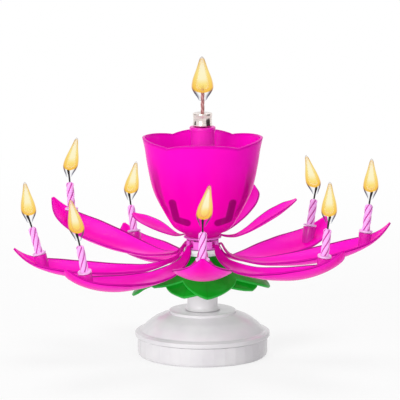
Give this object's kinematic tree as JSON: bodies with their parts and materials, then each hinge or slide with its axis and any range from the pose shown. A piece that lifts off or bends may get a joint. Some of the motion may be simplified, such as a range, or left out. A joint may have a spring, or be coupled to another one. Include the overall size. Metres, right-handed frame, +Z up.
{
  "type": "musical birthday candle",
  "caption": "Lotus-shaped musical birthday candle: petals with candles bloom from a bud round a central fountain fuse and turn on a round battery base.",
  "frame": {"origin": "middle of the base's flat underside, on the flower's turning axis", "axes": "+Z up along the turning axis; -Y faces the viewer of the picture; +X to the viewer's right"},
  "size_m": [0.1777, 0.169, 0.1285],
  "materials": {
    "white_plastic": "satin moulded styrene",
    "magenta_plastic": "glossy translucent styrene",
    "pink_plastic": "glossy moulded styrene",
    "green_plastic": "glossy translucent styrene",
    "candle_wax": "twisted wax with darker lines",
    "chrome": "bright plated sheet",
    "fuse_cord": "twisted cord",
    "paper": "rolled card",
    "nylon": "natural nylon",
    "steel": "plain steel",
    "brass": "stamped sheet",
    "board": "green solder mask",
    "black_epoxy": "black epoxy or acetal"
  },
  "bodies": {
    "base": {"base_tub": "white_plastic", "base_dome": "white_plastic", "battery_door": "white_plastic", "battery_door_screw": "steel", "case_screw_1": "steel", "case_screw_2": "steel", "case_screw_3": "steel", "button_cell_1": "steel", "button_cell_2": "steel", "button_cell_3": "steel", "battery_contact_minus": "brass", "battery_contact_plus": "brass", "circuit_board": "board", "melody_chip": "black_epoxy", "piezo_speaker": "brass", "drive_motor": "steel", "gear_axle": "steel", "switch_housing": "steel"},
    "motor_pinion": {"motor_pinion": "brass"},
    "reduction_gear": {"reduction_gear": "nylon"},
    "switch_slider": {"switch_slider": "black_epoxy"},
    "head": {"stem": "white_plastic", "output_gear": "nylon", "calyx": "green_plastic", "calyx_lower": "green_plastic", "petal_ring": "pink_plastic", "ring_cap": "pink_plastic", "bloom_spring": "steel", "bud_cup": "magenta_plastic", "fuse_column": "pink_plastic", "fountain_tube": "paper", "fuse_cap": "chrome", "fuse": "fuse_cord"},
    "push_plate": {"push_plate": "nylon"},
    "petal_1": {"petal_1": "magenta_plastic", "candle_1": "candle_wax"},
    "petal_2": {"petal_2": "magenta_plastic", "candle_2": "candle_wax"},
    "petal_3": {"petal_3": "magenta_plastic", "candle_3": "candle_wax"},
    "petal_4": {"petal_4": "magenta_plastic", "candle_4": "candle_wax"},
    "petal_5": {"petal_5": "magenta_plastic", "candle_5": "candle_wax"},
    "petal_6": {"petal_6": "magenta_plastic", "candle_6": "candle_wax"},
    "petal_7": {"petal_7": "magenta_plastic", "candle_7": "candle_wax"},
    "petal_8": {"petal_8": "magenta_plastic", "candle_8": "candle_wax"},
    "inner_petal_1": {"inner_petal_1": "magenta_plastic"},
    "inner_petal_2": {"inner_petal_2": "magenta_plastic"},
    "inner_petal_3": {"inner_petal_3": "magenta_plastic"},
    "inner_petal_4": {"inner_petal_4": "magenta_plastic"}
  },
  "joints": [
    {"name": "head_spin", "type": "hinge", "parent": "base", "child": "head", "pos_m": [0, 0, 0.0125], "axis": [0, 0, 1], "continuous": true},
    {"name": "reduction_gear_spin", "type": "hinge", "parent": "base", "child": "reduction_gear", "pos_m": [-0.0144, 0, 0.01], "axis": [0, 0, 1], "continuous": true},
    {"name": "motor_pinion_spin", "type": "hinge", "parent": "base", "child": "motor_pinion", "pos_m": [-0.0054, -0.01072, 0.009], "axis": [0, 0, 1], "continuous": true},
    {"name": "switch_slide", "type": "slide", "parent": "base", "child": "switch_slider", "axis": [1, 0, 0], "range_m": [0, 0.002]},
    {"name": "petal_1_hinge", "type": "hinge", "parent": "head", "child": "petal_1", "pos_m": [-0.0062, 0, 0.053], "axis": [0, 1, 0], "range_deg": [0, 73.3]},
    {"name": "petal_2_hinge", "type": "hinge", "parent": "head", "child": "petal_2", "pos_m": [-0.00514, 0.00347, 0.053], "axis": [0.5592, 0.829, 0], "range_deg": [0, 66]},
    {"name": "petal_3_hinge", "type": "hinge", "parent": "head", "child": "petal_3", "pos_m": [-0.00431, -0.00446, 0.053], "axis": [-0.7193, 0.6947, 0], "range_deg": [0, 75.8]},
    {"name": "petal_4_hinge", "type": "hinge", "parent": "head", "child": "petal_4", "pos_m": [-0.00272, 0.00557, 0.053], "axis": [0.8988, 0.4384, 0], "range_deg": [0, 74.7]},
    {"name": "petal_5_hinge", "type": "hinge", "parent": "head", "child": "petal_5", "pos_m": [0, -0.0062, 0.053], "axis": [-1, 0, 0], "range_deg": [0, 62.3], "stiffness_Nm_per_rad": 0.006, "springref_deg": -28.65, "deforming": ["bloom_spring"]},
    {"name": "petal_6_hinge", "type": "hinge", "parent": "head", "child": "petal_6", "pos_m": [0.00423, 0.00453, 0.053], "axis": [0.7314, -0.682, 0], "range_deg": [0, 74.6]},
    {"name": "petal_7_hinge", "type": "hinge", "parent": "head", "child": "petal_7", "pos_m": [0.00446, -0.00431, 0.053], "axis": [-0.6947, -0.7193, 0], "range_deg": [0, 70.2]},
    {"name": "petal_8_hinge", "type": "hinge", "parent": "head", "child": "petal_8", "pos_m": [0.0062, 0, 0.053], "axis": [0, -1, 0], "range_deg": [0, 64.7]},
    {"name": "inner_petal_1_hinge", "type": "hinge", "parent": "head", "child": "inner_petal_1", "pos_m": [0.00859, 0.00045, 0.0574], "axis": [0.0523, -0.9986, 0], "range_deg": [0, 35.4]},
    {"name": "inner_petal_2_hinge", "type": "hinge", "parent": "head", "child": "inner_petal_2", "pos_m": [0.00468, 0.00721, 0.0574], "axis": [0.8387, -0.5446, 0], "range_deg": [0, 32.3]},
    {"name": "inner_petal_3_hinge", "type": "hinge", "parent": "head", "child": "inner_petal_3", "pos_m": [-0.00266, 0.00818, 0.0574], "axis": [0.9511, 0.309, 0], "range_deg": [0, 33.7]},
    {"name": "inner_petal_4_hinge", "type": "hinge", "parent": "head", "child": "inner_petal_4", "pos_m": [-0.00773, 0.00377, 0.0574], "axis": [0.4384, 0.8988, 0], "range_deg": [0, 40.9]},
    {"name": "push_plate_slide", "type": "slide", "parent": "head", "child": "push_plate", "axis": [0, 0, -1], "range_m": [0, 0.0022]}
  ],
  "couplings": [
    {"joint": "reduction_gear_spin", "follows": "head_spin", "ratio": -3},
    {"joint": "motor_pinion_spin", "follows": "head_spin", "ratio": 10.125},
    {"joint": "petal_1_hinge", "follows": "petal_5_hinge", "ratio": 1.1766},
    {"joint": "petal_2_hinge", "follows": "petal_5_hinge", "ratio": 1.0594},
    {"joint": "petal_3_hinge", "follows": "petal_5_hinge", "ratio": 1.2167},
    {"joint": "petal_4_hinge", "follows": "petal_5_hinge", "ratio": 1.199},
    {"joint": "petal_6_hinge", "follows": "petal_5_hinge", "ratio": 1.1974},
    {"joint": "petal_7_hinge", "follows": "petal_5_hinge", "ratio": 1.1268},
    {"joint": "petal_8_hinge", "follows": "petal_5_hinge", "ratio": 1.0385},
    {"joint": "inner_petal_1_hinge", "follows": "petal_5_hinge", "ratio": 0.56821},
    {"joint": "inner_petal_2_hinge", "follows": "petal_5_hinge", "ratio": 0.51845},
    {"joint": "inner_petal_3_hinge", "follows": "petal_5_hinge", "ratio": 0.54093},
    {"joint": "inner_petal_4_hinge", "follows": "petal_5_hinge", "ratio": 0.6565},
    {"joint": "push_plate_slide", "follows": "petal_5_hinge", "m_per_rad": 0.0020232}
  ]
}
